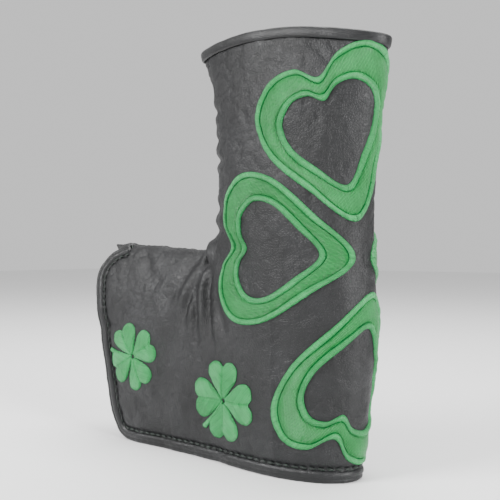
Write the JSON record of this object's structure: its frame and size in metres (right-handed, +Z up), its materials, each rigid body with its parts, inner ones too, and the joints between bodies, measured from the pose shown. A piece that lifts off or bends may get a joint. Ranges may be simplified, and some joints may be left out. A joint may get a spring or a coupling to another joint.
{
  "type": "putter head cover",
  "caption": "Boot-shaped padded leather cover for a blade putter head, with a rear closure flap and raised green clover embroidery.",
  "frame": {"origin": "on the floor plane, under the middle of the overall box", "axes": "+Z up along the shaft leg, +X towards the heel, -X towards the toe, -Y out of the front face, +Y out of the back with the closure flap"},
  "size_m": [0.1768, 0.0498, 0.206],
  "materials": {
    "grained_leather": "fine grained black, soft sheen",
    "binding_leather": "smooth black, slightly glossy",
    "green_thread_fill": "embroidery fill stitches",
    "green_thread_satin": "satin stitch, bright sheen",
    "black_thread": "matt sewing thread",
    "foam": "soft open foam",
    "plush_lining": "short plush pile",
    "board": "stiff matt sheet",
    "closure_tape": "hook and loop tape"
  },
  "bodies": {
    "root": {"front_panel": "grained_leather", "rear_panel": "grained_leather", "edge_binding": "binding_leather", "sole_and_toe_gusset": "grained_leather", "front_padding": "foam", "rear_padding": "foam", "sole_board": "board", "front_lining": "plush_lining", "rear_lining": "plush_lining", "sole_lining": "plush_lining", "mouth_hem": "grained_leather", "closure_tab": "grained_leather", "loop_strip": "closure_tape", "binding_stitches": "black_thread", "upper_heart_fill": "green_thread_fill", "upper_heart_edging": "green_thread_satin", "front_heart_fill": "green_thread_fill", "front_heart_edging": "green_thread_satin", "lower_heart_fill": "green_thread_fill", "lower_heart_edging": "green_thread_satin", "rear_heart_tip": "green_thread_fill", "toe_clover": "green_thread_fill", "middle_clover": "green_thread_fill"},
    "flap": {"flap_panel": "grained_leather", "flap_padding": "foam", "flap_lining": "plush_lining", "flap_hem": "grained_leather", "hook_strip": "closure_tape", "rear_heart_fill": "green_thread_fill", "rear_heart_edging": "green_thread_satin", "flap_edge_stitches": "black_thread"}
  },
  "joints": [
    {"name": "flap_hinge", "type": "hinge", "parent": "root", "child": "flap", "pos_m": [0.06139, 0.02044, 0], "axis": [0.0057, 0.0048, -1], "range_deg": [0, 110]}
  ]
}
